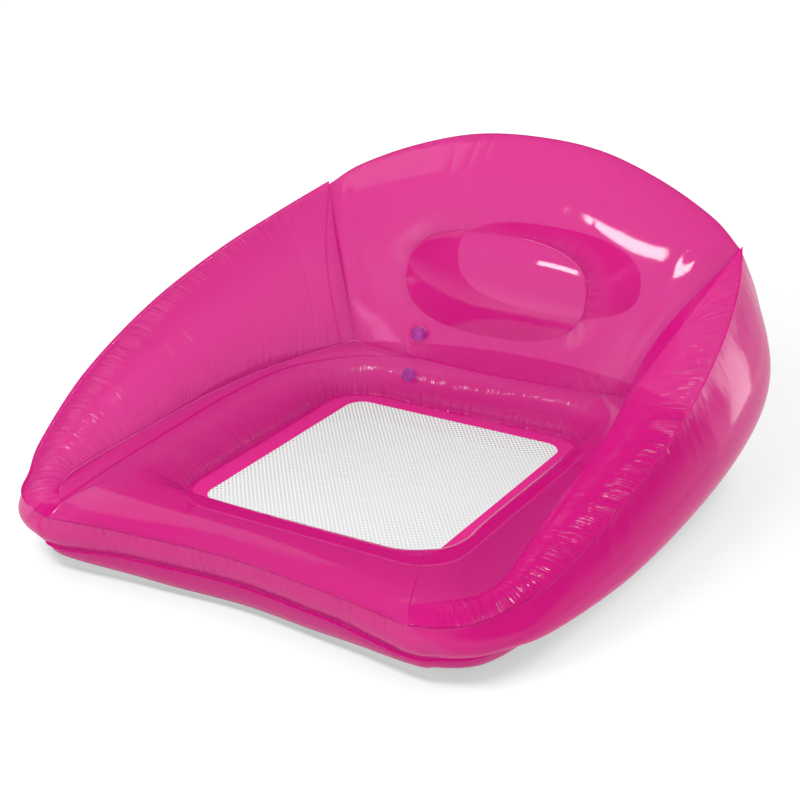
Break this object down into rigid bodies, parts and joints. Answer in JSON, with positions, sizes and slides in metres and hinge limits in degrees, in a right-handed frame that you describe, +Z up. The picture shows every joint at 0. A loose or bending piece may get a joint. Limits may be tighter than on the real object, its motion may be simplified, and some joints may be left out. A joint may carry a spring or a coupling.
{
  "type": "inflatable lounge chair",
  "caption": "Pool lounge chair of welded clear pink vinyl film with an air tube base, tall air backrest and arms, an oval headrest, push-in air valves and a flat mesh seat in a window",
  "frame": {"origin": "on the floor, at the middle of the bounding box seen from above", "axes": "+Z up, -Y out of the open front of the seat, +Y towards the backrest, +X to the right for someone who looks at the front"},
  "size_m": [1.0248, 1.017, 0.494],
  "materials": {
    "transparent_pink_vinyl": "see-through pink vinyl film, glossy, with soft puckers beside its welds",
    "flat_pink_vinyl": "the same pink vinyl, flat and welded over the edge of the mesh",
    "white_polyester_mesh": "open woven white polyester mesh",
    "soft_violet_pvc": "moulded soft violet PVC, slightly see-through"
  },
  "bodies": {
    "lounge": {"backrest_front_panel": "transparent_pink_vinyl", "backrest_rear_panel": "transparent_pink_vinyl", "base_bottom_panel": "transparent_pink_vinyl", "base_top_panel": "transparent_pink_vinyl", "front_band": "transparent_pink_vinyl", "headrest_face": "transparent_pink_vinyl", "headrest_wall": "transparent_pink_vinyl", "left_arm_inner_panel": "transparent_pink_vinyl", "left_arm_outer_panel": "transparent_pink_vinyl", "right_arm_inner_panel": "transparent_pink_vinyl", "right_arm_outer_panel": "transparent_pink_vinyl", "mesh_frame": "flat_pink_vinyl", "seat_mesh": "white_polyester_mesh", "back_valve_flange": "soft_violet_pvc", "base_valve_flange": "soft_violet_pvc"},
    "back_valve_stem": {"back_valve_stem": "soft_violet_pvc"},
    "back_valve_plug": {"back_valve_plug": "soft_violet_pvc"},
    "back_valve_flap": {"back_valve_flap": "soft_violet_pvc"},
    "base_valve_stem": {"base_valve_stem": "soft_violet_pvc"},
    "base_valve_plug": {"base_valve_plug": "soft_violet_pvc"},
    "base_valve_flap": {"base_valve_flap": "soft_violet_pvc"}
  },
  "joints": [
    {"name": "back_valve_slide", "type": "slide", "parent": "lounge", "child": "back_valve_stem", "axis": [-0.0369, -0.9474, 0.3181], "range_m": [0, 0.014]},
    {"name": "back_valve_plug_hinge", "type": "hinge", "parent": "back_valve_stem", "child": "back_valve_plug", "pos_m": [-0.10888, 0.25477, 0.16781], "axis": [0, 0.3183, 0.948], "range_deg": [0, 150]},
    {"name": "back_valve_flap_hinge", "type": "hinge", "parent": "back_valve_stem", "child": "back_valve_flap", "pos_m": [-0.13528, 0.27837, 0.15989], "axis": [0, 0.3183, 0.948], "range_deg": [0, 35], "stiffness_Nm_per_rad": 0.002, "springref_deg": -11.46},
    {"name": "base_valve_slide", "type": "slide", "parent": "lounge", "child": "base_valve_stem", "axis": [0.0096, -0.8425, 0.5387], "range_m": [0, 0.014]},
    {"name": "base_valve_plug_hinge", "type": "hinge", "parent": "base_valve_stem", "child": "base_valve_plug", "pos_m": [-0.10266, 0.21279, 0.10697], "axis": [0, 0.5387, 0.8425], "range_deg": [0, 150]},
    {"name": "base_valve_flap_hinge", "type": "hinge", "parent": "base_valve_stem", "child": "base_valve_flap", "pos_m": [-0.13019, 0.23271, 0.09423], "axis": [0, 0.5387, 0.8425], "range_deg": [0, 35], "stiffness_Nm_per_rad": 0.002, "springref_deg": -11.46}
  ]
}
